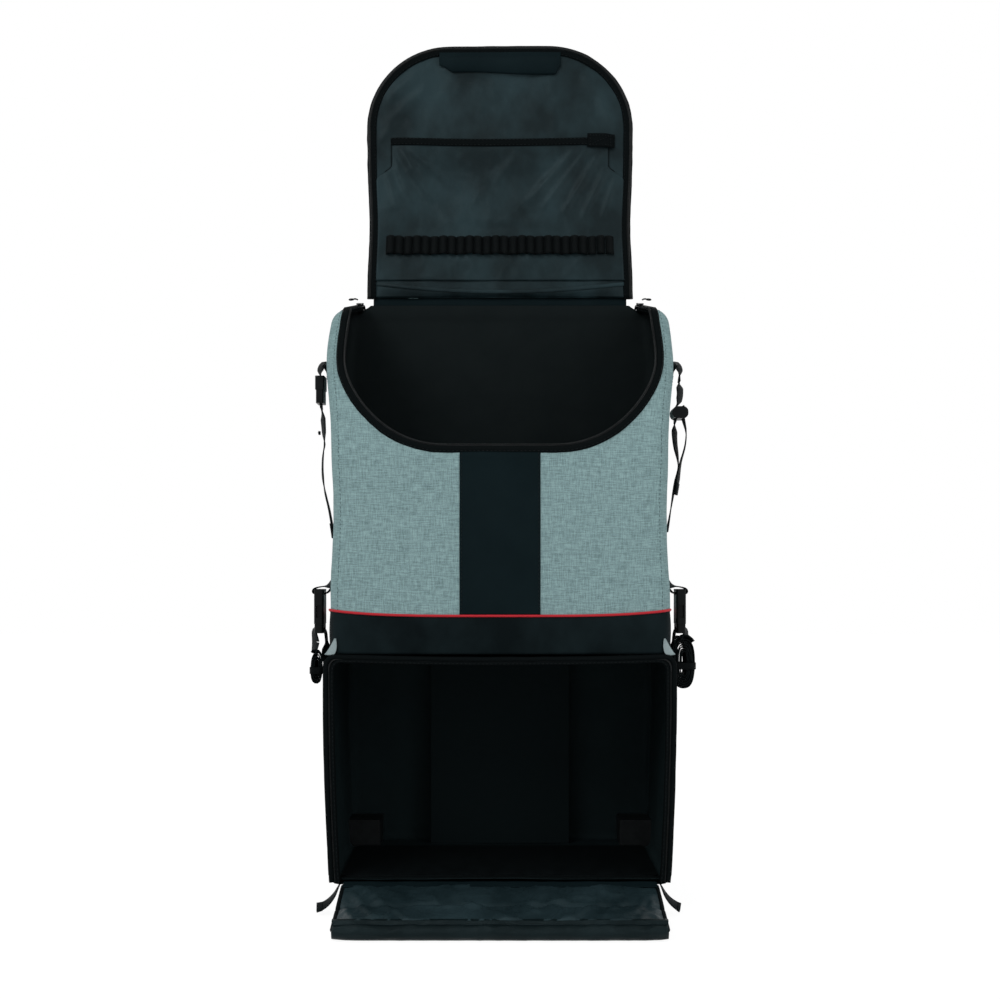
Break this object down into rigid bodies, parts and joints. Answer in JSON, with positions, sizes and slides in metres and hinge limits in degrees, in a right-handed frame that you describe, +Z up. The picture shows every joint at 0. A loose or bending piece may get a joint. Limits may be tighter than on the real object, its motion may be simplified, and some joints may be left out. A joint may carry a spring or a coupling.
{
  "type": "art supply tote",
  "caption": "Two-part rolling art supply tote: a clip-on upper bag with a folding pen-loop lid above a wheeled cart with a fold-down front door and telescoping handle.",
  "frame": {"origin": "on the ground, at the middle of the box the whole object fills with its lid open and its door down", "axes": "+X to the viewer's right, +Y back from the open front, +Z up"},
  "size_m": [0.506, 0.4492, 1.2047],
  "materials": {
    "heather": "grey heather woven polyester",
    "nylon": "black packcloth nylon",
    "binding": "black grosgrain binding and zipper tape",
    "lining": "slate-black satin lining",
    "piping": "red cord piping",
    "webbing": "ribbed black webbing",
    "buckle": "satin black acetal",
    "moulding": "textured black moulding",
    "board": "stiff board in black lining",
    "tube": "anodised tube",
    "axle": "plain steel pin",
    "tyre": "black rubber",
    "zipper": "black coated slider"
  },
  "bodies": {
    "cart": {"cart_floor": "nylon", "cart_top": "nylon", "cart_back": "nylon", "cart_side_left": "nylon", "cart_side_right": "nylon", "cart_front_frame": "binding", "cart_base_board": "board", "wheel_housing_left": "moulding", "wheel_housing_right": "moulding", "wheel_axles": "axle", "front_feet": "moulding", "handle_outer_tubes": "tube", "handle_foot": "moulding", "handle_bezel": "moulding", "tube_channel": "nylon", "cart_buckle_left": "buckle", "cart_buckle_right": "buckle", "cart_webbing": "webbing", "door_end_tabs": "webbing"},
    "wheel_left": {"tyre_left": "tyre", "wheel_hub_left": "moulding"},
    "wheel_right": {"tyre_right": "tyre", "wheel_hub_right": "moulding"},
    "handle_middle": {"handle_mid_tubes": "tube"},
    "handle_inner": {"handle_inner_tubes": "tube", "handle_grip": "moulding"},
    "handle_release": {"handle_button": "moulding"},
    "door_lower": {"door_lower_leaf": "lining"},
    "door_upper": {"door_upper_leaf": "lining"},
    "tote": {"tote_base": "nylon", "tote_base_board": "board", "tote_piping": "piping", "tote_side_left": "heather", "tote_side_right": "heather", "tote_front": "heather", "tote_back": "heather", "tote_rim": "binding", "tote_stripe": "nylon", "trolley_sleeve": "nylon", "zipper_sliders": "zipper", "tote_buckle_left": "buckle", "tote_buckle_right": "buckle", "tote_webbing": "webbing", "strap_anchors": "webbing", "side_buckle_left": "buckle", "ladder_lock_right": "buckle", "side_webbing_left": "webbing", "side_webbing_right": "webbing"},
    "lid_rear": {"lid_rear_panel": "heather", "lid_hinge_strip": "binding", "lid_rear_band": "binding", "lid_panel_cloth": "lining", "pen_rest": "lining", "pen_loops": "webbing", "carry_handle": "webbing"},
    "lid_front": {"lid_front_panel": "heather", "lid_front_band": "binding", "lid_pocket": "lining"}
  },
  "joints": [
    {"name": "wheel_left_spin", "type": "hinge", "parent": "cart", "child": "wheel_left", "pos_m": [-0.196, 0.1886, 0.032], "axis": [1, 0, 0], "continuous": true},
    {"name": "wheel_right_spin", "type": "hinge", "parent": "cart", "child": "wheel_right", "pos_m": [0.196, 0.1886, 0.032], "axis": [1, 0, 0], "continuous": true},
    {"name": "handle_middle_slide", "type": "slide", "parent": "cart", "child": "handle_middle", "axis": [0, 0, 1], "range_m": [0, 0.24]},
    {"name": "handle_inner_slide", "type": "slide", "parent": "handle_middle", "child": "handle_inner", "axis": [0, 0, 1], "range_m": [0, 0.24]},
    {"name": "handle_button_press", "type": "slide", "parent": "handle_inner", "child": "handle_release", "axis": [0, 0, -1], "range_m": [0, 0.0025], "stiffness_N_per_m": 500},
    {"name": "door_close", "type": "hinge", "parent": "cart", "child": "door_lower", "pos_m": [0, -0.0857, 0.04], "axis": [-1, 0, 0], "range_deg": [0, 101.9]},
    {"name": "door_unfold", "type": "hinge", "parent": "door_lower", "child": "door_upper", "pos_m": [0, -0.2235, 0.0053], "axis": [-1, 0, 0], "range_deg": [0, 168]},
    {"name": "tote_lift", "type": "slide", "parent": "cart", "child": "tote", "axis": [0, 0, 1], "range_m": [0, 0.3]},
    {"name": "lid_close", "type": "hinge", "parent": "tote", "child": "lid_rear", "pos_m": [0, 0.1666, 0.8253], "axis": [1, 0, 0], "range_deg": [0, 102.9]},
    {"name": "lid_fold", "type": "hinge", "parent": "lid_rear", "child": "lid_front", "pos_m": [0, 0.16832, 1.01781], "axis": [1, 0, 0], "range_deg": [0, 63.27]}
  ],
  "couplings": [
    {"joint": "lid_fold", "follows": "lid_close", "ratio": 0.61438}
  ]
}
